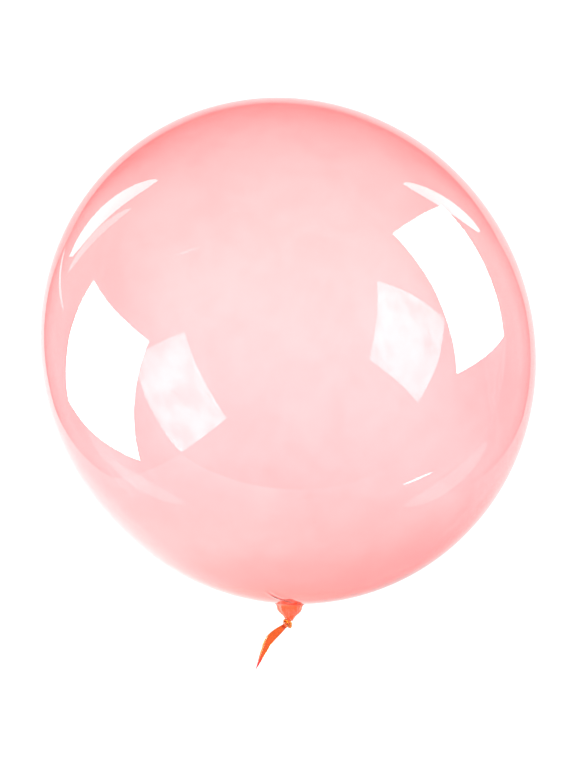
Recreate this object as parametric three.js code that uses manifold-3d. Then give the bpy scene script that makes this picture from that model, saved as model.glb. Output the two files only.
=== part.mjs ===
// A clear bubble balloon, blown up and tied, lying on the ground.
//
// It is one piece of tinted film: the bubble, the neck that the film is gathered into, an overhand
// knot tied in the neck, and the flat end of the neck tube, left as a tail. It is sealed, so it is
// one solid. Millimetres, +Z up, with the origin on the ground straight below the bubble's middle.
//
// The neck, knot and tail are drawn as if the balloon hung with its neck down: -Z runs down the
// neck, +X is to the right and -Y is the front. The balloon is then tipped over, which turns the
// neck forward and down, and lies on a small flat spot.

import * as THREE from "three";
import { mergeVertices } from "three/addons/utils/BufferGeometryUtils.js";
import Module from "manifold-3d";

// Bubble
const shortRadius = 245.7;
const longRadius = 257;
const longLineTurn = THREE.MathUtils.degToRad(31.8); // from the neck's axis, towards +X
const tipAngle = THREE.MathUtils.degToRad(45); // from hanging straight down to lying
const flatSpotRadius = 36;
const bubbleSides = 64;
const bubbleRings = 32;

// Neck: the film stands up round its foot, runs straight for a few millimetres and then closes
const neckRadius = 12.5;
const throatRadius = 3;
const neckLength = 16;
const skirtRadius = 36;
const pleatCount = 9;
const pleatDepth = 1.2;
const pleatSwirl = 0.02; // radians a millimetre, out from the neck
const pleatSharpness = 0.7; // 1 gives even ridges, and less gives narrow ones
const neckSides = 72;
const neckRings = 16;
const insideBubble = 8; // how far the neck's solid reaches into the bubble

// Knot
const coreRadius = 2.1; // of the film that runs through the knot
const strandRadius = 1.6; // of the film wound round it
const knotRadius = 2.6; // from the middle of the knot to the middle of the wound strand
const knotTuck = 0.35; // of that radius, where the wound strand's ends tuck in
const knotTurns = 1.75;
const knotRise = 3.2; // from the first turn to the last
const knotMiddle = new THREE.Vector3(-1.5, 0, -18.8);
const knotLean = THREE.MathUtils.degToRad(38); // its turns run down to the left

// Tail: the neck tube lies flat and is folded once along its length
const tailRun = new THREE.CatmullRomCurve3([
  new THREE.Vector3(-3.6, 0, -20.6),
  new THREE.Vector3(-10.5, -1.2, -26),
  new THREE.Vector3(-17, -2.6, -32.4),
  new THREE.Vector3(-21.3, -2.6, -39.9),
  new THREE.Vector3(-27.5, 0.4, -52),
  new THREE.Vector3(-31, 3, -62.3),
]);
const tailWidth = 8.4;
const tailWidestAt = 0.33; // of its length
const tailStartShare = 0.5; // of the greatest width
const tailTipShare = 0.07;
const tailTaper = 1.3;
const tailThickness = 2;
const tailThinning = 0.4; // the share of its thickness that is left where the width runs out
const tailTwist = THREE.MathUtils.degToRad(28);
const tailSteps = 22;

const down = new THREE.Vector3(0, 0, -1);
const wasm = await Module();
wasm.setup();

// A ball of radius 1 becomes the bubble: it is stretched along its long line.
const tip = new THREE.Quaternion().setFromAxisAngle(new THREE.Vector3(1, 0, 0), -tipAngle);
const longLine = new THREE.Vector3(Math.sin(longLineTurn), 0, -Math.cos(longLineTurn)).applyQuaternion(tip);
const toLongLine = new THREE.Matrix4().makeRotationFromQuaternion(
  new THREE.Quaternion().setFromUnitVectors(new THREE.Vector3(0, 0, 1), longLine),
);
const stretch = toLongLine
  .clone()
  .scale(new THREE.Vector3(shortRadius, shortRadius, longRadius))
  .multiply(toLongLine.clone().invert());
const unstretch = stretch.clone().invert();

// The flat spot is level once the ball is stretched. What is level then had this normal before.
const flatAngle = Math.asin(flatSpotRadius / shortRadius);
const flatNormal = new THREE.Vector3(0, 0, 1).applyMatrix4(stretch);
const middleHeight = flatNormal.length() * Math.cos(flatAngle);
const middle = new THREE.Vector3(0, 0, middleHeight);
flatNormal.normalize();

// The neck stands square on the bubble, straight down from its middle as it hangs.
const neckLine = down.clone().applyQuaternion(tip);
const onBall = neckLine.clone().applyMatrix4(unstretch);
const neckFoot = middle.clone().addScaledVector(neckLine, 1 / onBall.length());
const footNormal = onBall.clone().applyMatrix4(unstretch).normalize();
const neckTurn = new THREE.Quaternion().setFromUnitVectors(neckLine, footNormal).multiply(tip);
const neckPlace = new THREE.Matrix4().compose(neckFoot, neckTurn, new THREE.Vector3(1, 1, 1));

function toSolid(geometry) {
  const bare = geometry.clone();
  bare.deleteAttribute("normal");
  bare.deleteAttribute("uv");
  const welded = mergeVertices(bare, 1e-4);
  const corners = welded.index.array;
  const triangles = [];
  for (let first = 0; first < corners.length; first += 3) {
    const [a, b, c] = corners.slice(first, first + 3);
    if (a !== b && b !== c && c !== a) {
      triangles.push(a, b, c);
    }
  }
  return new wasm.Manifold(
    new wasm.Mesh({
      numProp: 3,
      vertProperties: welded.attributes.position.array,
      triVerts: new Uint32Array(triangles),
    }),
  );
}

function toGeometry(solid) {
  const mesh = solid.getMesh();
  const geometry = new THREE.BufferGeometry();
  geometry.setAttribute("position", new THREE.BufferAttribute(mesh.vertProperties, 3));
  geometry.setIndex(new THREE.BufferAttribute(mesh.triVerts, 1));
  geometry.computeVertexNormals();
  return geometry;
}

// Moves every vertex of a geometry to where place(vertex, normal) puts it.
function reshape(geometry, place) {
  const positions = geometry.attributes.position;
  const normals = geometry.attributes.normal;
  const vertex = new THREE.Vector3();
  const normal = new THREE.Vector3();
  for (let index = 0; index < positions.count; index++) {
    vertex.fromBufferAttribute(positions, index);
    normal.fromBufferAttribute(normals, index);
    place(vertex, normal);
    positions.setXYZ(index, vertex.x, vertex.y, vertex.z);
  }
  return geometry;
}

function bubble() {
  const profile = [new THREE.Vector2(0, -Math.cos(flatAngle))];
  for (let ring = 0; ring < bubbleRings; ring++) {
    const angle = THREE.MathUtils.lerp(flatAngle, Math.PI, ring / bubbleRings);
    profile.push(new THREE.Vector2(Math.sin(angle), -Math.cos(angle)));
  }
  profile.push(new THREE.Vector2(0, 1));
  const ball = new THREE.LatheGeometry(profile, bubbleSides);
  ball.applyQuaternion(new THREE.Quaternion().setFromUnitVectors(new THREE.Vector3(0, 1, 0), flatNormal));
  ball.applyMatrix4(stretch);
  ball.translate(0, 0, middleHeight);
  return toSolid(ball);
}

// The gathered film: a skirt that rises off the bubble and a funnel that closes to the throat.
function neck() {
  const outline = new THREE.SplineCurve([
    new THREE.Vector2(skirtRadius, -3.6),
    new THREE.Vector2(24, -1.5),
    new THREE.Vector2(15.6, -0.5),
    new THREE.Vector2(neckRadius, 1.4),
    new THREE.Vector2(11.7, 4.8),
    new THREE.Vector2(9.2, 8),
    new THREE.Vector2(5.8, 11.4),
    new THREE.Vector2(throatRadius, neckLength),
  ]);
  const profile = [new THREE.Vector2(0, -insideBubble), ...outline.getSpacedPoints(neckRings)];
  profile.push(new THREE.Vector2(0, neckLength + 1));
  const funnel = new THREE.LatheGeometry(profile, neckSides);
  reshape(funnel, (vertex, normal) => {
    const radius = Math.hypot(vertex.x, vertex.z);
    const fade = 1 - THREE.MathUtils.smoothstep(radius, neckRadius - 2, skirtRadius);
    const depth = pleatDepth * fade * Math.min(1, radius / neckRadius);
    const turn = Math.atan2(vertex.z, vertex.x) + pleatSwirl * radius;
    const pleat = 1 - 2 * Math.abs(Math.sin((pleatCount * turn) / 2)) ** pleatSharpness;
    if (vertex.y > -insideBubble / 2 && vertex.y <= neckLength) {
      vertex.addScaledVector(normal, depth * pleat);
    }
  });
  return toSolid(funnel.rotateX(-Math.PI / 2));
}

// The strand goes round the knot in a helix and tucks in at both ends.
class KnotTurns extends THREE.Curve {
  getPoint(share, target = new THREE.Vector3()) {
    const turn = 2 * Math.PI * knotTurns * (share - 0.5);
    const tuck = Math.min(1, 5 * share, 5 * (1 - share));
    const reach = knotRadius * THREE.MathUtils.lerp(knotTuck, 1, tuck);
    target.set(reach * Math.sin(turn), -reach * Math.cos(turn), knotRise * (0.5 - share));
    return target.applyAxisAngle(new THREE.Vector3(0, 1, 0), knotLean).add(knotMiddle);
  }
}

function roundSection(radius, sides) {
  const corners = [];
  for (let side = 0; side < sides; side++) {
    const turn = (2 * Math.PI * side) / sides;
    corners.push(new THREE.Vector2(radius * Math.cos(turn), radius * Math.sin(turn)));
  }
  return new THREE.Shape(corners);
}

// The overhand knot: the strand from the throat to the tail, and the turns wound round it.
function knot() {
  const through = new THREE.CatmullRomCurve3([
    new THREE.Vector3(0, 0, 1 - neckLength),
    knotMiddle,
    tailRun.getPoint(0),
    tailRun.getPoint(0.06),
  ]);
  const core = new THREE.ExtrudeGeometry(roundSection(coreRadius, 10), {
    extrudePath: through,
    steps: 10,
  });
  const turns = new THREE.ExtrudeGeometry(roundSection(strandRadius, 8), {
    extrudePath: new KnotTurns(),
    steps: 30,
  });
  return toSolid(core).add(toSolid(turns));
}

// The tail's section across its length: x over its width of 1, y through half its thickness. The
// back leaf is the wider, the fold is at the left, and the front leaf stops short of the edge.
function foldedSection() {
  return new THREE.Shape([
    new THREE.Vector2(-0.5, 0),
    new THREE.Vector2(-0.42, -0.9),
    new THREE.Vector2(0.5, -0.8),
    new THREE.Vector2(0.5, -0.15),
    new THREE.Vector2(-0.3, 0),
    new THREE.Vector2(0.2, 0.3),
    new THREE.Vector2(0.2, 1),
    new THREE.Vector2(-0.4, 0.85),
  ]);
}

function tailShare(along) {
  if (along < tailWidestAt) {
    return 1 - (1 - tailStartShare) * (1 - along / tailWidestAt) ** 2;
  }
  return 1 - (1 - tailTipShare) * ((along - tailWidestAt) / (1 - tailWidestAt)) ** tailTaper;
}

function tail() {
  const strip = new THREE.ExtrudeGeometry(foldedSection(), {
    depth: 1,
    steps: tailSteps,
    bevelEnabled: false,
  });
  reshape(strip, (vertex) => {
    const along = vertex.z;
    const share = tailShare(along);
    const tangent = tailRun.getTangentAt(along);
    const face = new THREE.Vector3(0, -1, 0).applyAxisAngle(tangent, tailTwist * along);
    const side = face.clone().cross(tangent).normalize();
    face.crossVectors(tangent, side);
    const thickness = tailThickness * THREE.MathUtils.lerp(tailThinning, 1, share);
    const outward = (vertex.y * thickness) / 2;
    const across = vertex.x * tailWidth * share;
    vertex.copy(tailRun.getPointAt(along)).addScaledVector(side, across).addScaledVector(face, outward);
  });
  return toSolid(strip);
}

const gathered = neck().add(knot()).add(tail());
const film = bubble().add(gathered.transform(neckPlace.elements));

const tintedFilm = new THREE.MeshStandardMaterial({
  color: 0xffc4c8,
  roughness: 0.05,
  metalness: 0,
  transparent: true,
  opacity: 0.45,
});
const balloon = new THREE.Mesh(toGeometry(film), tintedFilm);
balloon.name = "balloon";

const part = new THREE.Group();
part.add(balloon);

export default part;
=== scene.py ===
import math

import bpy
import numpy as np
from mathutils import Matrix, Vector


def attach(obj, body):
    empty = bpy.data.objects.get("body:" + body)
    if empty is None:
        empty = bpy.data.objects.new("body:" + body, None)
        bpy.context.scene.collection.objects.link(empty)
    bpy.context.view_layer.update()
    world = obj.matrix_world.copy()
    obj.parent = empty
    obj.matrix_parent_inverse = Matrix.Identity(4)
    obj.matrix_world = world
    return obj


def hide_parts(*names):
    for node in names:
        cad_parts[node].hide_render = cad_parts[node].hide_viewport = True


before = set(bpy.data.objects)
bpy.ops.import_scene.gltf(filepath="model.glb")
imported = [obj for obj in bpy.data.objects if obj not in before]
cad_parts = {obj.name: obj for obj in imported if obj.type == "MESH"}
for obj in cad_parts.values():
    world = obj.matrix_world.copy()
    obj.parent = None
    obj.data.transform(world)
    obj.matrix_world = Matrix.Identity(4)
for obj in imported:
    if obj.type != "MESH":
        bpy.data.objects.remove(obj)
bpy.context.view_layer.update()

mm = 0.001
down = Vector((0, 0, -1))

# The balloon is drawn hanging by its neck and is then tipped over, with the sizes of its solid.
bubble = {
    "shortRadius": 245.7 * mm,
    "longRadius": 257 * mm,
    "longLineTurn": 31.8,  # degrees from the neck's axis
    "tipAngle": 45,
    "flatSpotRadius": 36 * mm,
    "flatSpotEdge": 1.2 * mm,  # how softly the film turns up from the ground
    "filmThickness": 0.25 * mm,
    "columns": 240,
    "rings": 154,
    "ringCrowding": 1.6,  # above 1 the rings crowd together at the neck
    "waveDepth": 0.05 * mm,  # blown film is never quite true
    "waveLength": 75 * mm,
    "waveSeed": 5,
    "plannedRadius": 250,  # millimetres: the rings are set out on a ball of this size, then stretched
}

# From here to the tail, millimetres in the hanging frame: -Z down the neck, +X right, -Y front.
neck = {
    "outline": [(3, 16), (5.8, 11.4), (9.2, 8), (11.7, 4.8), (12.5, 1.4), (15.6, -0.5), (24, -1.5)],
    "rings": 44,
    "joinsBubble": (14, 24),  # between these radii it runs over into the ball
    "pleats": 9,
    "pleatDepth": 1.2,
    "pleatSwirl": 0.02,  # radians a millimetre
    "pleatSharpness": 0.7,
    "pleatsFade": (9, 17),
    "mouthRadius": 12.5,  # further in than this the pleats get shallower
    "fineRibs": 31,
    "fineRibDepth": 0.2,
}

crease = {  # the long fold on the bubble's front: right and front of the neck's axis
    "line": [(9, 20), (-4, 40), (-17, 61), (-26, 88)],
    "fadeIn": (22, 34),
    "fadeOut": (64, 82),
    "halfWidth": 4.5,
    "overlap": 1.12,  # above 1 the film lies back over itself
    "height": 0.35,
    "columnPull": 0.72,  # how far the columns crowd towards it
    "columnsEven": (80, 220),  # between these radii the columns even out again
    "pulledTo": -100,  # degrees round the neck
    "startRadius": 12,  # nearer the neck's axis than this there is no fold
    "steps": 60,
}

gather = {  # the film that is folded into the neck, inside it
    "outline": [(9.6, -0.6), (9.3, 2.4), (7.6, 6.4), (4.6, 10.6), (2.6, 14.6)],
    "slant": 0.16,  # its upper edge rises to the right
    "turn": (-165, -15),  # degrees round the neck
    "pleats": 5,
    "pleatDepth": 0.5,
    "toTheRight": 1.3,
    "leaf": 0.25,
    "rows": 60,
    "columns": 90,
}

knot = {
    "neckEnd": 15,
    "middle": (-1.6, 0, -18.8),
    "coreRadius": 2.3,
    "strandRadius": 2.1,
    "turnRadius": 3.4,
    "tuck": 0.35,
    "turns": 1.75,
    "rise": 3.2,
    "lean": 38,
    "ridges": 5,
    "ridgeDepth": 0.18,
    "ridgeTwist": 0.25,  # turns a millimetre along the strand
    "sides": 40,
    "steps": 160,
    "coreSteps": 60,
    "coreIntoTail": 0.06,  # the core runs this share of the tail's line into the tail
    "tuckPace": 5,  # a strand's end tucks in over one part in this many
}

tail = {
    "run": [(-4, 0, -21), (-18, -2, -34), (-24, -1, -46), (-31, 3.5, -64)],
    # Its section, in half widths across and half thicknesses out. The closed fold is on the right.
    "foldAtKnot": [
        (-0.44, -0.1), (-0.5, -0.6), (0, -0.95), (0.42, -0.6), (0.5, 0), (0.4, 0.5),
        (0, 0.8), (-0.46, 0.4),
    ],
    "foldAtTip": [
        (-0.46, -0.3), (-0.5, -0.6), (0, -0.95), (0.42, -0.6), (0.5, 0), (0.4, 0.5),
        (0.1, 0.8), (-0.24, 0.6),
    ],
    "opens": (0.15, 0.7),  # between these shares of its length it goes from one section to the other
    "width": 8.6,
    "widestAt": 0.38,
    "startShare": 0.48,
    "tipShare": 0.13,
    "taper": 1.3,
    "thickness": 2,
    "thinning": 0.4,
    "twist": 20,
    "leaf": 0.22,
    "crinkle": 0.07,
    "crinklePace": (23, 5),  # radians over its length, and over its width
    "steps": 130,
    "across": 64,
}


white = (1, 1, 1, 1)


def linearColour(hexValue):
    shares = [int(hexValue[first:first + 2], 16) / 255 for first in (1, 3, 5)]
    return [s / 12.92 if s <= 0.04045 else ((s + 0.055) / 1.055) ** 2.4 for s in shares] + [1]


def ease(value, low, high):
    share = np.clip((np.asarray(value, float) - low) / (high - low), 0, 1)
    return share * share * (3 - 2 * share)


def curveThrough(points, count):  # evenly spaced points on a smooth curve through the given ones
    given = np.array(points, float)
    given = np.vstack([2 * given[0] - given[1], given, 2 * given[-1] - given[-2]])
    stepsEach = 40
    share = np.linspace(0, 1, stepsEach, endpoint=False)[:, None]
    runs = []
    for before, start, end, after in zip(given, given[1:], given[2:], given[3:]):
        bend = 2 * before - 5 * start + 4 * end - after
        turn = 3 * start - before - 3 * end + after
        runs.append(start + 0.5 * ((end - before) * share + bend * share ** 2 + turn * share ** 3))
    line = np.vstack([*runs, given[-2]])
    lengths = np.append(0, np.cumsum(np.linalg.norm(np.diff(line, axis=0), axis=1)))
    places = np.linspace(0, lengths[-1], count)
    return np.stack([np.interp(places, lengths, column) for column in line.T], axis=1)


def softWaves(points, length, seed):  # gentle uneven waves of about that length, mostly from -1 to 1
    waveCount, paces, evening = 12, (0.7, 1.5), 4
    random = np.random.default_rng(seed)
    total = np.zeros(points.shape[:-1])
    for _ in range(waveCount):
        direction = random.normal(size=3)
        direction /= np.linalg.norm(direction)
        pace = 2 * math.pi / (length * random.uniform(*paces))
        total += np.sin(points @ direction * pace + random.uniform(0, 2 * math.pi))
    return total / evening


def unit(vectors):
    return vectors / np.linalg.norm(vectors, axis=-1, keepdims=True)


def gridFaces(rows, columns, closed):  # quads between neighbouring rows, round and round if closed
    row, column = np.mgrid[:rows - 1, :columns if closed else columns - 1]
    beside = (column + 1) % columns
    corners = [row * columns + column, row * columns + beside]
    corners += [corners[1] + columns, corners[0] + columns]
    return np.stack(corners, axis=-1).reshape(-1, 4).tolist()


def makePiece(name, points, faces, material, thickness=0):
    mesh = bpy.data.meshes.new(name)
    mesh.from_pydata(points.reshape(-1, 3).tolist(), [], faces)
    mesh.validate()
    mesh.shade_smooth()
    mesh.materials.append(material)
    piece = bpy.data.objects.new(name, mesh)
    bpy.context.collection.objects.link(piece)
    if thickness:
        film = piece.modifiers.new("film thickness", "SOLIDIFY")
        film.thickness = thickness
        film.offset = -1
    return piece


# Where things are: the bubble's stretch, its middle above its flat spot, and the neck's foot.
tip = Matrix.Rotation(math.radians(-bubble["tipAngle"]), 3, "X")
longTurn = math.radians(bubble["longLineTurn"])
longLine = tip @ Vector((math.sin(longTurn), 0, -math.cos(longTurn)))
extraRadius = bubble["longRadius"] - bubble["shortRadius"]
stretch = Matrix([[extraRadius * a * b for b in longLine] for a in longLine])
stretch += Matrix.Identity(3) * bubble["shortRadius"]
unstretch = stretch.inverted()
flatAngle = math.asin(bubble["flatSpotRadius"] / bubble["shortRadius"])
middle = Vector((0, 0, (stretch @ Vector((0, 0, 1))).length * math.cos(flatAngle)))
neckLine = tip @ down
onBall = unstretch @ neckLine
neckFoot = middle + neckLine / onBall.length
footNormal = (unstretch @ onBall).normalized()
neckTurn = neckLine.rotation_difference(footNormal).to_matrix() @ tip


def fromHanging(points):  # hanging millimetres to metres in the part's frame
    return np.asarray(points, float) * mm @ np.array(neckTurn).T + np.array(neckFoot)


# Camera: straight on to the neck's side, from above
view = {
    "distance": 1.8,
    "elevation": 37,
    "lens": 83.53,
    "roll": -0.57,
    "aimBelow": 1.05,
    "aimRight": 0.024,
}


def makeCamera():
    turn = Matrix.Rotation(math.radians(90 - view["elevation"]), 3, "X")
    place = middle + turn @ Vector((0, 0, view["distance"]))
    turn = turn @ Matrix.Rotation(math.radians(view["roll"]), 3, "Z")
    turn = turn @ Matrix.Rotation(math.radians(-view["aimBelow"]), 3, "X")
    turn = turn @ Matrix.Rotation(math.radians(-view["aimRight"]), 3, "Y")
    camera = bpy.data.objects.new("camera", bpy.data.cameras.new("camera"))
    camera.data.lens = view["lens"]
    camera.matrix_world = Matrix.LocRotScale(place, turn.to_quaternion(), None)
    bpy.context.collection.objects.link(camera)
    bpy.context.scene.camera = camera


makeCamera()
bpy.context.scene.view_settings.view_transform = "Standard"
print("camera ready")


def addNode(tree, kind, settings=None, links=None):
    node = tree.nodes.new("ShaderNode" + kind)
    for name, value in (settings or {}).items():
        if isinstance(name, int) or name in node.inputs:
            node.inputs[name].default_value = value
        else:
            setattr(node, name, value)
    for name, socket in (links or {}).items():
        tree.links.new(socket, node.inputs[name])
    return node


def newMaterial(name):
    material = bpy.data.materials.new(name)
    material.use_nodes = True
    material.node_tree.nodes.clear()
    return material, material.node_tree


def setRamp(node, stops):
    ramp = node.color_ramp
    while len(ramp.elements) > 1:
        ramp.elements.remove(ramp.elements[-1])
    ramp.elements[0].position, ramp.elements[0].color = stops[0]
    for position, colour in stops[1:]:
        ramp.elements.new(position).color = colour
    ramp.interpolation = "EASE"
    return node


# Clear tinted TPU balloon film, blown: glossy and see-through. It is stretched thin and pale round
# the middle and stays thicker, so deeper in colour, round the neck and the far end.
filmLook = {
    "tints": [  # by the angle from the neck
        (0, "#F8B49A"), (3, "#FFB8A6"), (8, "#FFBCB1"), (12, "#FFC0BA"), (25, "#FFC6C5"),
        (40, "#FFC8C8"), (60, "#FFC8C9"), (82, "#FFC6C7"), (110, "#FFC6C6"),
    ],
    "slantDepth": 1.5,  # seen at a slant the film is this much deeper in colour
    "slantEase": 1.6,
    "ior": 1.47,
    "roughness": 0.025,
    "cloudLength": 55 * mm,  # uneven thickness left by the blowing
    "cloudTint": "#FFFBFB",
    "cloudRange": (0.35, 0.7),
    "rippleLength": 38 * mm,
    "rippleHeight": 0.006 * mm,
}


def deepenedAtSlant(tree, colour, look):
    # A ray that runs through the film at a slant has further to go, so the colour deepens.
    slant = addNode(tree, "LayerWeight", {"Blend": 0.5})
    straight = addNode(tree, "Math", {"operation": "SUBTRACT", 0: 1}, {1: slant.outputs["Facing"]})
    eased = addNode(tree, "Math", {"operation": "POWER", 1: look["slantEase"]}, {0: straight.outputs[0]})
    deepened = addNode(tree, "Math", {"operation": "SUBTRACT", 0: 1}, {1: eased.outputs[0]})
    deep = addNode(tree, "Gamma", {"Gamma": look["slantDepth"]}, {"Color": colour.outputs[2]})
    return addNode(
        tree, "Mix", {"data_type": "RGBA"},
        {0: deepened.outputs[0], 6: colour.outputs[2], 7: deep.outputs["Color"]},
    )


def blownFilm():
    material, tree = newMaterial("blown_tpu_film")
    place = addNode(tree, "TexCoord").outputs["Object"]
    away = addNode(tree, "VectorMath", {"operation": "SUBTRACT", 1: middle}, {0: place})
    away = addNode(tree, "VectorMath", {"operation": "NORMALIZE"}, {0: away.outputs["Vector"]})
    onAxis = addNode(
        tree, "VectorMath", {"operation": "DOT_PRODUCT", 1: neckLine}, {0: away.outputs["Vector"]}
    )
    angle = addNode(tree, "Math", {"operation": "ARCCOSINE"}, {0: onAxis.outputs["Value"]})
    share = addNode(tree, "Math", {"operation": "DIVIDE", 1: math.pi}, {0: angle.outputs[0]})
    tint = addNode(tree, "ValToRGB", links={"Fac": share.outputs[0]})
    setRamp(tint, [(degrees / 180, linearColour(colour)) for degrees, colour in filmLook["tints"]])
    clouds = addNode(
        tree, "TexNoise",
        {"Scale": 1 / filmLook["cloudLength"], "Detail": 3, "Distortion": 0.8}, {"Vector": place},
    )
    cloudy = addNode(tree, "ValToRGB", links={"Fac": clouds.outputs["Fac"]})
    thin, thick = filmLook["cloudRange"]
    setRamp(cloudy, [(thin, white), (thick, linearColour(filmLook["cloudTint"]))])
    colour = addNode(
        tree, "Mix", {"data_type": "RGBA", "blend_type": "MULTIPLY", "Factor": 1},
        {6: tint.outputs["Color"], 7: cloudy.outputs["Color"]},
    )
    colour = deepenedAtSlant(tree, colour, filmLook)
    ripples = addNode(
        tree, "TexNoise", {"Scale": 1 / filmLook["rippleLength"], "Detail": 2}, {"Vector": place}
    )
    relief = addNode(
        tree, "Bump", {"Strength": 1, "Distance": filmLook["rippleHeight"]},
        {"Height": ripples.outputs["Fac"]},
    )
    film = addNode(
        tree, "BsdfPrincipled",
        {"Transmission Weight": 1, "IOR": filmLook["ior"], "Roughness": filmLook["roughness"]},
        {"Base Color": colour.outputs[2], "Normal": relief.outputs["Normal"]},
    )
    addNode(tree, "OutputMaterial", links={"Surface": film.outputs["BSDF"]})
    return material


# The same film where it was never blown: gathered and knotted, so thick and strong in colour.
gatheredLook = {
    "neckTint": "#F3AC78",
    "tailTint": "#D48846",
    "tipTint": "#D9656C",
    "tipFrom": 0.75,  # the tail turns to its tip's colour from this share of the reach
    "knotTint": "#E89C2C",
    "streakTint": "#FFE0D0",
    "streakWidth": 1.1 * mm,
    "streakRange": (0.4, 0.75),
    "reach": 62 * mm,  # the tints are placed by shares of this, down from the neck's foot
    "slantDepth": 1.8,
    "slantEase": 1,
    "ior": 1.44,
    "roughness": 0.09,
    "crinkleWidth": 1.6 * mm,
    "crinkleHeight": 0.05 * mm,
}


def gatheredFilm(name, tints):
    material, tree = newMaterial(name)
    place = addNode(tree, "TexCoord").outputs["Object"]
    height = addNode(tree, "VectorMath", {"operation": "SUBTRACT", 1: neckFoot}, {0: place})
    along = addNode(
        tree, "VectorMath", {"operation": "DOT_PRODUCT", 1: footNormal}, {0: height.outputs["Vector"]}
    )
    share = addNode(
        tree, "Math", {"operation": "DIVIDE", 1: gatheredLook["reach"]}, {0: along.outputs["Value"]}
    )
    tint = addNode(tree, "ValToRGB", links={"Fac": share.outputs[0]})
    setRamp(tint, [(stop, linearColour(colour)) for stop, colour in tints])
    streaks = addNode(
        tree, "TexNoise",
        {"Scale": 1 / gatheredLook["streakWidth"], "Detail": 2, "Distortion": 0.5}, {"Vector": place},
    )
    streaky = addNode(tree, "ValToRGB", links={"Fac": streaks.outputs["Fac"]})
    thin, thick = gatheredLook["streakRange"]
    setRamp(streaky, [(thin, white), (thick, linearColour(gatheredLook["streakTint"]))])
    colour = addNode(
        tree, "Mix", {"data_type": "RGBA", "blend_type": "MULTIPLY", "Factor": 1},
        {6: tint.outputs["Color"], 7: streaky.outputs["Color"]},
    )
    colour = deepenedAtSlant(tree, colour, gatheredLook)
    crinkles = addNode(
        tree, "TexNoise", {"Scale": 1 / gatheredLook["crinkleWidth"], "Detail": 3}, {"Vector": place}
    )
    relief = addNode(
        tree, "Bump", {"Strength": 1, "Distance": gatheredLook["crinkleHeight"]},
        {"Height": crinkles.outputs["Fac"]},
    )
    film = addNode(
        tree, "BsdfPrincipled",
        {"Transmission Weight": 1, "IOR": gatheredLook["ior"], "Roughness": gatheredLook["roughness"]},
        {"Base Color": colour.outputs[2], "Normal": relief.outputs["Normal"]},
    )
    addNode(tree, "OutputMaterial", links={"Surface": film.outputs["BSDF"]})
    return material


blown = blownFilm()
neckFilm = gatheredFilm("gathered_tpu_film", [(0, gatheredLook["neckTint"])])
knotFilm = gatheredFilm("knotted_tpu_film", [(0, gatheredLook["knotTint"])])
tailFilm = gatheredFilm(
    "tail_tpu_film", [(gatheredLook["tipFrom"], gatheredLook["tailTint"]), (1, gatheredLook["tipTint"])]
)
print("materials ready")


def creaseMove(radius, turn):
    # How far the film moves round the neck and outwards at the long fold, in millimetres.
    line = curveThrough(crease["line"], crease["steps"])
    lineRadius = np.hypot(line[:, 0], line[:, 1])
    lineTurn = np.arctan2(-line[:, 1], line[:, 0])
    away = turn - np.interp(radius, lineRadius, lineTurn)
    away = (away + math.pi) % (2 * math.pi) - math.pi
    across = np.clip(away * radius / crease["halfWidth"], -1, 1)
    amount = ease(radius, *crease["fadeIn"]) * (1 - ease(radius, *crease["fadeOut"]))
    wave = np.sin(math.pi * across) * amount
    return -crease["halfWidth"] * crease["overlap"] * wave / math.pi, -crease["height"] * wave


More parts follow.
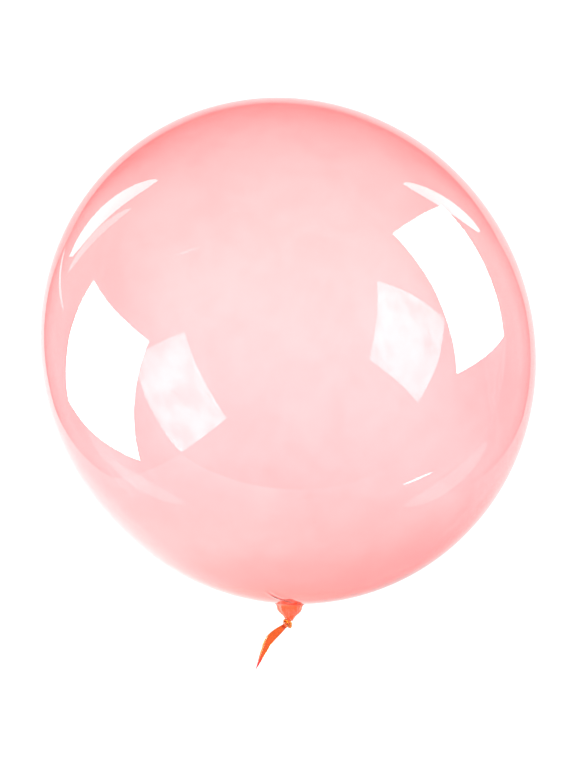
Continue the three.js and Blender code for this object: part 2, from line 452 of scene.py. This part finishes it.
def bubbleFilm():
    # One skin from the throat, down the neck and right round the ball to its far end.
    ballRadius = bubble["plannedRadius"]
    neckLineUp = curveThrough(neck["outline"], neck["rings"])
    neckEnd = neckLineUp[-1, 0]
    arcShare = (np.arange(1, bubble["rings"]) / bubble["rings"]) ** bubble["ringCrowding"]
    startAngle = math.asin(neckEnd / ballRadius)
    ballAngle = startAngle + (math.pi - startAngle) * arcShare
    angles = np.append(np.arcsin(neckLineUp[:, 0] / ballRadius), ballAngle)[:, None]
    radius = ballRadius * np.sin(angles)
    reach = np.where(angles < math.pi / 2, radius, 2 * ballRadius - radius)
    heights = np.append(neckLineUp[:, 1], np.zeros(ballAngle.size))[:, None]

    even = np.linspace(0, 2 * math.pi, bubble["columns"], endpoint=False)[None, :]
    pull = crease["columnPull"] * (1 - ease(reach, *crease["columnsEven"]))
    turn = even - pull * np.sin(even - math.radians(crease["pulledTo"]))

    sideways, outwards = np.zeros_like(turn), np.zeros_like(turn)
    near = (angles < math.pi / 2) & (radius > crease["startRadius"])
    creaseSide, creaseOut = creaseMove(np.broadcast_to(radius, turn.shape), turn)
    sideways += np.where(near, creaseSide, 0)
    outwards += np.where(near, creaseOut, 0)
    moved = turn + sideways / np.maximum(radius, 1)

    # The ball's rings lie round the neck's axis, and the neck's rings square to its foot.
    axis = unit(np.array(onBall))
    right = np.array(unstretch @ (neckTurn @ Vector((1, 0, 0))))
    right = unit(right - axis * (right @ axis))
    back = np.cross(right, axis)
    around = np.cos(moved)[..., None] * right + np.sin(moved)[..., None] * back
    ballUnit = np.cos(angles)[..., None] * axis + np.sin(angles)[..., None] * around
    ball = ballUnit @ np.array(stretch).T + np.array(middle)
    onNeck = np.stack(
        [radius * np.cos(moved), radius * np.sin(moved), np.broadcast_to(-heights, moved.shape)], axis=-1
    )
    onNeck = fromHanging(onNeck)
    joined = ease(radius, *neck["joinsBubble"])
    joined = np.where(np.arange(angles.size)[:, None] >= neck["rings"], 1, joined)[..., None]
    points = onNeck * (1 - joined) + ball * joined

    alongColumn = np.gradient(points, axis=0)
    alongRing = np.roll(points, -1, axis=1) - np.roll(points, 1, axis=1)
    normals = unit(np.cross(alongRing, alongColumn))
    halfWay = neck["rings"] + bubble["rings"] // 2
    if np.sum(normals[halfWay] * (points[halfWay] - np.array(middle))) < 0:
        normals = -normals

    fade = (1 - ease(reach, *neck["pleatsFade"])) * np.minimum(1, radius / neck["mouthRadius"])
    swirled = turn + neck["pleatSwirl"] * radius
    pleat = 1 - 2 * np.abs(np.sin(neck["pleats"] * swirled / 2)) ** neck["pleatSharpness"]
    rib = np.sin(neck["fineRibs"] * swirled + 3 * np.sin(4 * turn))
    outwards += fade * (neck["pleatDepth"] * pleat + neck["fineRibDepth"] * rib)
    waves = bubble["waveDepth"] * softWaves(points, bubble["waveLength"], bubble["waveSeed"])
    points = points + normals * (outwards * mm + waves * joined[..., 0])[..., None]

    soft = bubble["flatSpotEdge"]
    settled = (points[..., 2] + soft) ** 2 / (4 * soft)
    level = points[..., 2]
    points[..., 2] = np.where(level < -soft, 0, np.where(level > soft, level, settled))
    rows, columns = turn.shape
    farEnd = np.array(stretch) @ -axis + np.array(middle)
    skin = np.vstack([points.reshape(-1, 3), farEnd])
    faces = gridFaces(rows, columns, True)
    last = (rows - 1) * columns
    faces += [[last + c, last + (c + 1) % columns, rows * columns] for c in range(columns)]
    return makePiece("bubble_film", skin, faces, blown, bubble["filmThickness"])


def pointOutwards(piece, inside):
    # Turns the faces over if they look towards the given point.
    face = piece.data.polygons[len(piece.data.polygons) // 2]
    if face.normal.dot(face.center - inside) < 0:
        piece.data.flip_normals()


film = bubbleFilm()
pointOutwards(film, middle)
print("bubble ready")


def neckGather():
    # A fold of film that runs down inside the front of the neck to the throat.
    line = curveThrough(gather["outline"], gather["rows"])
    share = np.linspace(0, 1, gather["columns"])[None, :]
    turn = np.radians(gather["turn"][0] + (gather["turn"][1] - gather["turn"][0]) * share)
    widening = line[:, :1] / line[0, 0]
    radius = line[:, :1] + gather["pleatDepth"] * np.sin(2 * math.pi * gather["pleats"] * share) * widening
    rise = gather["slant"] * radius * np.cos(turn) * widening
    height = line[:, 1:] - rise
    right = radius * np.cos(turn) + gather["toTheRight"] * widening
    points = np.stack([right, radius * np.sin(turn), -height], axis=-1)
    faces = gridFaces(*points.shape[:2], False)
    return makePiece("neck_gather", fromHanging(points), faces, neckFilm, gather["leaf"] * mm)


def strandFrames(path):
    # Two directions square to a path at each of its points, carried along without twisting.
    tangents = unit(np.gradient(path, axis=0))
    anyWay = (0.3, 0.9, 0.2)
    side = np.cross(tangents[0], anyWay)
    sides = []
    for tangent in tangents:
        side = side - tangent * (side @ tangent)
        side = side / np.linalg.norm(side)
        sides.append(side)
    sides = np.array(sides)
    return sides, np.cross(tangents, sides)


def ridgedStrand(path, radius, name):
    # A rope of gathered film: its ridges wind round it, and its two ends are closed.
    sides, ups = strandFrames(path)
    lengths = np.append(0, np.cumsum(np.linalg.norm(np.diff(path, axis=0), axis=1)))[:, None]
    turn = np.linspace(0, 2 * math.pi, knot["sides"], endpoint=False)[None, :]
    wind = knot["ridges"] * (turn + 2 * math.pi * knot["ridgeTwist"] * lengths / knot["ridges"])
    reach = radius[:, None] + knot["ridgeDepth"] * (np.abs(np.sin(wind / 2)) * 2 - 1)
    ring = np.cos(turn)[..., None] * sides[:, None] + np.sin(turn)[..., None] * ups[:, None]
    points = path[:, None] + ring * reach[..., None]
    rows, columns = points.shape[:2]
    faces = gridFaces(rows, columns, True)
    faces.append(list(range(columns))[::-1])
    faces.append([(rows - 1) * columns + c for c in range(columns)])
    return makePiece(name, fromHanging(points), faces, knotFilm)


def makeKnot():
    runSteps = 200
    run = curveThrough(tail["run"], runSteps)
    inTail = run[round(knot["coreIntoTail"] * runSteps)]
    through = curveThrough([(0, 0, -knot["neckEnd"]), knot["middle"], run[0], inTail], knot["coreSteps"])
    core = ridgedStrand(through, np.full(knot["coreSteps"], knot["coreRadius"]), "knot_core")
    share = np.linspace(0, 1, knot["steps"])
    turn = 2 * math.pi * knot["turns"] * (share - 0.5)
    tuck = np.minimum(1, knot["tuckPace"] * np.minimum(share, 1 - share))
    reach = knot["turnRadius"] * (knot["tuck"] + (1 - knot["tuck"]) * tuck)
    helix = np.stack([reach * np.sin(turn), -reach * np.cos(turn), knot["rise"] * (0.5 - share)], axis=1)
    lean = np.array(Matrix.Rotation(math.radians(knot["lean"]), 3, "Y"))
    helix = helix @ lean.T + np.array(knot["middle"])
    wound = ridgedStrand(helix, np.full(knot["steps"], knot["strandRadius"]), "knot_turns")
    return core, wound


def tailShare(along):
    rising = 1 - (1 - tail["startShare"]) * (1 - np.minimum(along / tail["widestAt"], 1)) ** 2
    late = np.maximum(along - tail["widestAt"], 0) / (1 - tail["widestAt"])
    falling = 1 - (1 - tail["tipShare"]) * late ** tail["taper"]
    return np.where(along < tail["widestAt"], rising, falling)


def makeTail():
    # The flat end of the neck tube: two leaves with a closed fold on the right, drawn out to a point.
    path = curveThrough(tail["run"], tail["steps"])
    tangents = unit(np.gradient(path, axis=0))
    along = np.linspace(0, 1, tail["steps"])
    share = tailShare(along)[:, None]
    atKnot, atTip = (curveThrough(tail[end], tail["across"]) for end in ("foldAtKnot", "foldAtTip"))
    opened = ease(along, *tail["opens"])[:, None]
    sectionAcross = atKnot[:, 0] * (1 - opened) + atTip[:, 0] * opened
    sectionOut = atKnot[:, 1] * (1 - opened) + atTip[:, 1] * opened
    faceUp = np.tile((0.0, -1.0, 0.0), (tail["steps"], 1))
    turn = np.radians(tail["twist"] * along)[:, None]
    level = np.sum(tangents * faceUp, axis=1, keepdims=True) * tangents
    faceUp = faceUp * np.cos(turn) + np.cross(tangents, faceUp) * np.sin(turn) + level * (1 - np.cos(turn))
    side = unit(np.cross(faceUp, tangents))
    faceUp = np.cross(tangents, side)
    thickness = tail["thickness"] * (tail["thinning"] + (1 - tail["thinning"]) * share)
    across = sectionAcross * tail["width"] * share
    outward = sectionOut * thickness / 2
    pacedAlong, pacedAcross = tail["crinklePace"]
    outward = outward + tail["crinkle"] * np.sin(pacedAlong * along[:, None] + pacedAcross * sectionAcross)
    points = path[:, None] + side[:, None] * across[..., None] + faceUp[:, None] * outward[..., None]
    faces = gridFaces(tail["steps"], tail["across"], False)
    return makePiece("tail", fromHanging(points), faces, tailFilm, tail["leaf"] * mm)


pieces = [film, neckGather(), *makeKnot(), makeTail()]
for piece in pieces[1:]:
    piece.visible_glossy = False  # so that they don't show again in the bubble's gloss
for piece in pieces:
    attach(piece, "root")
    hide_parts("balloon")
print("neck, knot and tail ready")


# Studio. Straight rays meet white paper. Rays that have bounced off the gloss see a dark room with
# softboxes, strips and a sweep of white paper below.
studio = {
    "paper": 2.08,  # how bright straight rays through the film find the paper far off, and
    "paperGlow": 2.0,  # underfoot
    "paperColour": "#959595",
    "floorSize": 24,
    "floorGap": 0.5 * mm,
    "poolMiddle": (0, 0.55, 0),  # the paper is lit in a pool round the balloon and is a soft grey beyond
    "poolReach": (0.85, 1.2),
    "poolEdge": (1, 2.1),  # the pool fades out between these shares of its reach
    "poolTone": 1.25,
    "backdropTone": 0.74,
    "roomTone": 0.32,  # the dark room behind, and
    "frontTone": 0.75,  # in front
    "frontRange": (0.2, -0.6),
    "sideTones": [  # what is added at the left and right
        (-1, 0.1), (-0.84, 0.88), (-0.75, 0.88), (-0.45, 0), (0.45, 0), (0.75, 0.64), (0.84, 0.64),
        (1, 0.1),
    ],
    "sidesDim": 0.45,  # the share of it that is left overhead and in front
    "overheadDims": (0.35, 0),
    "inFrontDims": (-0.4, -0.1),
    # Millimetres to the right, up and back from the balloon's middle, as the camera sees it. Each
    # faces so many degrees to the right of straight on, and up, and is rolled round that line.
    "softboxes": {
        "left": {"place": (-500, -50, 120), "size": (375, 385), "faces": (70, 12), "roll": 28},
        "right": {"place": (455, 180, 110), "size": (360, 400), "faces": (-55, -20), "roll": -18},
    },
    "softboxLight": 20,
    "softboxClouds": (0.6, 1.05),  # the cloth in front is a little uneven
    "cloudSize": 110 * mm,
    "cloudRange": (0.4, 0.6),
    # A strip is a lamp with rounded ends. It runs from one direction to another, in degrees to the
    # right of straight on and in degrees up, as the camera sees it. Its width is in degrees too.
    "strips": {
        "left": {"from": (-68, 51), "to": (-48, 17), "width": 10, "away": 6, "light": 4},
        "left_echo": {"from": (-74, 41), "to": (-53, 15), "width": 4.5, "away": 6, "light": 2.2},
        "left_line": {"from": (-37, 15), "to": (-59, 8), "width": 1.2, "away": 6, "light": 2.5},
        "right": {"from": (69, 52), "to": (49, 25), "width": 8, "away": 6, "light": 4},
        "glint": {"from": (117, -46), "to": (104, -38), "width": 1, "away": 1.2, "light": 9},
    },
    "stripSteps": 16,
    "sweepDrop": 3,
    # The paper below: how far away, and half its width there, for each metre of drop.
    "sweep": [(-2.4, 2.5), (0, 1.15), (0.9, 1), (1.8, 1.3), (3, 2), (14, 3)],
    "sweepTones": [(-0.9, 1.6), (-0.4, 1.9), (0.2, 1.1), (1.2, 1.08)],  # how bright, from left to right
    "tonesFade": (1.2, 2.4),  # and how far away that evens out
    "shadowPlace": (0.2, 0),
    "shadowReach": (0.3, 0.9),
    "shadowTone": 0.6,
    "distanceFade": (2, 14),
    "distanceTone": 0.55,
    "bounces": 48,
    "glossyBounces": 32,
}

cameraAxes = Matrix.Rotation(math.radians(90 - view["elevation"]), 3, "X")


def bouncedRays(tree):  # 1 for a ray that has bounced off something glossy, 0 for the others
    depth = addNode(tree, "LightPath").outputs["Glossy Depth"]
    return addNode(tree, "Math", {"operation": "GREATER_THAN", 1: 0.5}, {0: depth}).outputs[0]


def tonesAlong(tree, value, tones, scale):  # a brightness that runs through the given tones
    first, last = tones[0][0] * scale, tones[-1][0] * scale
    brightest = max(tone for place, tone in tones)
    share = addNode(tree, "MapRange", {"From Min": first, "From Max": last}, {"Value": value})
    ramp = addNode(tree, "ValToRGB", links={"Fac": share.outputs[0]})
    shares = [((place * scale - first) / (last - first), tone / brightest) for place, tone in tones]
    setRamp(ramp, [(place, (tone, tone, tone, 1)) for place, tone in shares])
    ramp.color_ramp.interpolation = "LINEAR"
    scaled = addNode(tree, "Math", {"operation": "MULTIPLY", 1: brightest}, {0: ramp.outputs["Color"]})
    return scaled.outputs[0]


def makeFlat(name, corners, material):  # one face, which isn't part of the balloon
    mesh = bpy.data.meshes.new(name)
    mesh.from_pydata(corners, [], [list(range(len(corners)))])
    mesh.materials.append(material)
    flat = bpy.data.objects.new(name, mesh)
    bpy.context.collection.objects.link(flat)
    return flat


def makeCard(name, corners, light, shade=None):  # a lamp or sheet that shows in gloss alone
    material, tree = newMaterial(name)
    glow = addNode(tree, "Emission", {"Strength": light})
    if shade:
        tree.links.new(shade(tree), glow.inputs["Strength"])
    clear = addNode(tree, "BsdfTransparent")
    shown = addNode(
        tree, "MixShader", links={0: bouncedRays(tree), 1: clear.outputs[0], 2: glow.outputs[0]}
    )
    addNode(tree, "OutputMaterial", links={"Surface": shown.outputs[0]})
    material.cycles.emission_sampling = "NONE"
    card = makeFlat(name, corners, material)
    card.visible_camera = False
    card.visible_shadow = False
    card.visible_diffuse = False


def sweepShade(tree):
    # The paper is brightest at the left, and darker in the distance and under the ball.
    drop = studio["sweepDrop"]
    place = addNode(tree, "TexCoord").outputs["Object"]
    part = addNode(tree, "SeparateXYZ", links={0: place})
    tones = tonesAlong(tree, part.outputs["X"], studio["sweepTones"], drop)
    nearEnd, farEnd = studio["tonesFade"]
    evening = addNode(
        tree, "MapRange",
        {"interpolation_type": "SMOOTHSTEP", "From Min": nearEnd * drop, "From Max": farEnd * drop},
        {"Value": part.outputs["Y"]},
    )
    tone = addNode(tree, "Mix", {"data_type": "FLOAT", 3: 1}, {0: evening.outputs[0], 2: tones})
    flat = addNode(tree, "VectorMath", {"operation": "MULTIPLY", 1: (1, 1, 0)}, {0: place})
    shadowPlace = Vector((*studio["shadowPlace"], 0)) * drop
    away = addNode(
        tree, "VectorMath", {"operation": "DISTANCE", 1: shadowPlace}, {0: flat.outputs["Vector"]}
    )
    near, clear = studio["shadowReach"]
    shadow = addNode(
        tree, "MapRange",
        {"interpolation_type": "SMOOTHSTEP", "From Min": near * drop, "From Max": clear * drop,
         "To Min": studio["shadowTone"], "To Max": 1},
        {"Value": away.outputs["Value"]},
    )
    near, far = studio["distanceFade"]
    distance = addNode(
        tree, "MapRange",
        {"interpolation_type": "SMOOTHSTEP", "From Min": near * drop, "From Max": far * drop,
         "To Min": 1, "To Max": studio["distanceTone"]},
        {"Value": part.outputs["Y"]},
    )
    both = addNode(tree, "Math", {"operation": "MULTIPLY"}, {0: shadow.outputs[0], 1: distance.outputs[0]})
    light = addNode(tree, "Math", {"operation": "MULTIPLY"}, {0: both.outputs[0], 1: tone.outputs[0]})
    return light.outputs[0]


def softboxShade(tree):
    place = addNode(tree, "TexCoord").outputs["Object"]
    clouds = addNode(tree, "TexNoise", {"Scale": 1 / studio["cloudSize"], "Detail": 2}, {"Vector": place})
    dimmest, brightest = (share * studio["softboxLight"] for share in studio["softboxClouds"])
    low, high = studio["cloudRange"]
    shade = addNode(
        tree, "MapRange", {"From Min": low, "From Max": high, "To Min": dimmest, "To Max": brightest},
        {"Value": clouds.outputs["Fac"]},
    )
    return shade.outputs[0]


def seenTowards(turn, rise):  # so many degrees to the right of straight on and up, as the camera sees it
    turn, rise = math.radians(turn), math.radians(rise)
    return Vector((math.cos(rise) * math.sin(turn), math.sin(rise), -math.cos(rise) * math.cos(turn)))


def softboxCorners(box):
    facing = seenTowards(*box["faces"])
    across = facing.cross((0, 1, 0)).normalized()
    across.rotate(Matrix.Rotation(math.radians(box["roll"]), 3, facing))
    upward = across.cross(facing)
    width, height = box["size"]
    ends = [(-0.5, -0.5), (0.5, -0.5), (0.5, 0.5), (-0.5, 0.5)]
    return [(Vector(box["place"]) + across * width * a + upward * height * b) * mm for a, b in ends]


def stripCorners(strip):
    start, run = np.array(strip["from"], float), np.subtract(strip["to"], strip["from"])
    side = np.array((-run[1], run[0])) / np.hypot(*run)
    share = np.linspace(0, 1, studio["stripSteps"])[:, None]
    middleLine = start + run * share
    out = side * strip["width"] / 2 * np.sqrt(np.sin(math.pi * share).clip(0))
    edges = [*(middleLine + out), *(middleLine - out)[-2:0:-1]]
    return [seenTowards(*place) * strip["away"] for place in edges]


def makeStudio():
    for side, box in studio["softboxes"].items():
        places = [middle + cameraAxes @ corner for corner in softboxCorners(box)]
        makeCard(side + "_softbox", places, studio["softboxLight"], softboxShade)
    for side, strip in studio["strips"].items():
        places = [middle + cameraAxes @ corner for corner in stripCorners(strip)]
        makeCard(side + "_strip", places, strip["light"])
    drop = studio["sweepDrop"]
    outline = [(half, away) for away, half in studio["sweep"]]
    outline += [(-half, away) for half, away in reversed(outline)]
    places = [middle + Vector((right * drop, away * drop, -drop)) for right, away in outline]
    makeCard("paper_sweep", places, 1, sweepShade)


def makeFloor():
    material, tree = newMaterial("white_paper")
    paper = addNode(tree, "BsdfDiffuse", {"Color": linearColour(studio["paperColour"])})
    glow = addNode(tree, "Emission", {"Strength": studio["paperGlow"]})
    lit = addNode(tree, "AddShader", links={0: paper.outputs[0], 1: glow.outputs[0]})
    clear = addNode(tree, "BsdfTransparent")
    place = addNode(tree, "TexCoord").outputs["Object"]
    outward = addNode(tree, "VectorMath", {"operation": "SUBTRACT", 1: studio["poolMiddle"]}, {0: place})
    outward = addNode(
        tree, "VectorMath",
        {"operation": "DIVIDE", 1: (*studio["poolReach"], 1)}, {0: outward.outputs["Vector"]},
    )
    reach = addNode(tree, "VectorMath", {"operation": "LENGTH"}, {0: outward.outputs["Vector"]})
    edge, end = studio["poolEdge"]
    pool = addNode(
        tree, "MapRange",
        {"interpolation_type": "SMOOTHSTEP", "From Min": edge, "From Max": end,
         "To Min": studio["poolTone"], "To Max": studio["backdropTone"]},
        {"Value": reach.outputs["Value"]},
    )
    straight = addNode(tree, "LightPath").outputs["Is Camera Ray"]
    backdrop = addNode(tree, "Emission", links={"Strength": pool.outputs[0]})
    seen = addNode(tree, "MixShader", links={0: straight, 1: lit.outputs[0], 2: backdrop.outputs[0]})
    shown = addNode(
        tree, "MixShader", links={0: bouncedRays(tree), 1: seen.outputs[0], 2: clear.outputs[0]}
    )
    addNode(tree, "OutputMaterial", links={"Surface": shown.outputs[0]})
    material.cycles.emission_sampling = "NONE"
    size = studio["floorSize"] / 2
    corners = [(-size, -size, 0), (size, -size, 0), (size, size, 0), (-size, size, 0)]
    makeFlat("floor", corners, material).location.z = -studio["floorGap"]


def makeWorld():
    world = bpy.data.worlds.new("studio")
    world.use_nodes = True
    tree = world.node_tree
    tree.nodes.clear()
    direction = addNode(tree, "SeparateXYZ", links={0: addNode(tree, "TexCoord").outputs["Generated"]})
    tone = tonesAlong(tree, direction.outputs["X"], studio["sideTones"], 1)
    ranges = [
        ("Z", studio["overheadDims"], studio["sidesDim"], 1),
        ("Y", studio["inFrontDims"], studio["sidesDim"], 1),
        ("Y", studio["frontRange"], studio["roomTone"], studio["frontTone"]),
    ]
    overhead, inFront, front = (
        addNode(
            tree, "MapRange",
            {"interpolation_type": "SMOOTHSTEP", "From Min": start, "From Max": end,
             "To Min": low, "To Max": high},
            {"Value": direction.outputs[axis]},
        ).outputs[0]
        for axis, (start, end), low, high in ranges
    )
    dimming = addNode(tree, "Math", {"operation": "MULTIPLY"}, {0: overhead, 1: inFront})
    room = addNode(tree, "Math", {"operation": "MULTIPLY_ADD"}, {0: tone, 1: dimming.outputs[0], 2: front})
    straight = addNode(tree, "LightPath").outputs["Is Camera Ray"]
    behind = addNode(
        tree, "Mix", {"data_type": "FLOAT", 2: studio["paper"], 3: studio["backdropTone"]}, {0: straight}
    )
    strength = addNode(
        tree, "Mix", {"data_type": "FLOAT"},
        {0: bouncedRays(tree), 2: behind.outputs[0], 3: room.outputs[0]},
    )
    back = addNode(tree, "Background", {"Color": white}, {"Strength": strength.outputs[0]})
    addNode(tree, "OutputWorld", links={"Surface": back.outputs[0]})
    bpy.context.scene.world = world


makeStudio()
makeFloor()
makeWorld()
# Light goes to and fro many times between the two walls of so clear a ball.
bpy.context.scene.cycles.max_bounces = studio["bounces"]
bpy.context.scene.cycles.glossy_bounces = studio["glossyBounces"]
bpy.context.scene.cycles.transmission_bounces = studio["bounces"]
print("studio ready")
